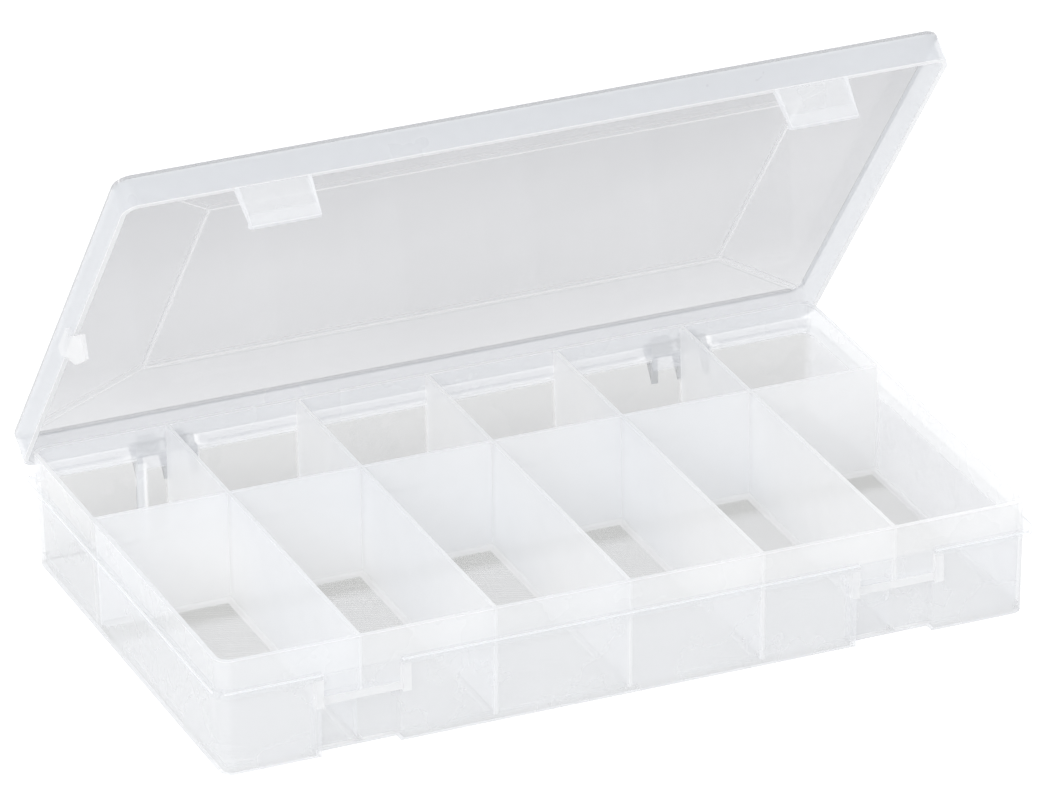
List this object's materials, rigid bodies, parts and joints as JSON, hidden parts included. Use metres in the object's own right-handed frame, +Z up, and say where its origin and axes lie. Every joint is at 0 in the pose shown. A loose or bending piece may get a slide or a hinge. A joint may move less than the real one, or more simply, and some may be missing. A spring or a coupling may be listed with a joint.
{
  "type": "compartment box with hinged lid",
  "caption": "Shallow clear plastic organizer box: a tray of fixed compartments under one hinged lid with two flexing latch tabs.",
  "frame": {"origin": "centre of the tray's underside", "axes": "+X along the length to the right, +Y from the latches to the hinges, +Z up"},
  "size_m": [0.2088, 0.1341, 0.1285],
  "materials": {
    "clear_plastic": "natural polypropylene, see-through with a soft sheen",
    "frosted_plastic": "the same plastic where it is seen nearly edge on, milky white"
  },
  "bodies": {
    "tray": {"tray_floor": "clear_plastic", "tray_wall": "clear_plastic", "shoulder_front": "clear_plastic", "shoulder_back": "clear_plastic", "shoulder_left": "clear_plastic", "shoulder_right": "clear_plastic", "latch_guides_left": "clear_plastic", "latch_guides_right": "clear_plastic", "catch_left": "clear_plastic", "catch_right": "clear_plastic", "hinge_lugs_left": "clear_plastic", "hinge_lugs_right": "clear_plastic", "hinge_pins_left": "clear_plastic", "hinge_pins_right": "clear_plastic", "hinge_rib": "clear_plastic", "long_divider_1": "frosted_plastic", "long_divider_2": "frosted_plastic", "long_divider_3": "frosted_plastic", "long_divider_4": "frosted_plastic", "long_divider_5": "frosted_plastic", "cross_divider_1": "frosted_plastic", "cross_divider_2": "frosted_plastic", "cross_divider_3": "frosted_plastic", "cross_divider_4": "frosted_plastic", "cross_divider_5": "frosted_plastic", "cross_divider_6": "frosted_plastic"},
    "lid": {"lid_top": "clear_plastic", "lid_skirt": "clear_plastic", "hinge_clips_left": "clear_plastic", "hinge_clips_right": "clear_plastic", "side_tab": "frosted_plastic"},
    "latch_tab_left": {"latch_tab_left": "frosted_plastic"},
    "latch_tab_right": {"latch_tab_right": "frosted_plastic"}
  },
  "joints": [
    {"name": "lid_hinge", "type": "hinge", "parent": "tray", "child": "lid", "pos_m": [0, 0.0654, 0.0224], "axis": [1, 0, 0], "range_deg": [-128.3, 51.7]},
    {"name": "latch_flex_left", "type": "hinge", "parent": "lid", "child": "latch_tab_left", "pos_m": [-0.06747, -0.01455, 0.12364], "axis": [1, 0, 0], "range_deg": [-12, 0], "stiffness_Nm_per_rad": 0.05},
    {"name": "latch_flex_right", "type": "hinge", "parent": "lid", "child": "latch_tab_right", "pos_m": [0.06747, -0.01455, 0.12364], "axis": [1, 0, 0], "range_deg": [-12, 0], "stiffness_Nm_per_rad": 0.05}
  ]
}
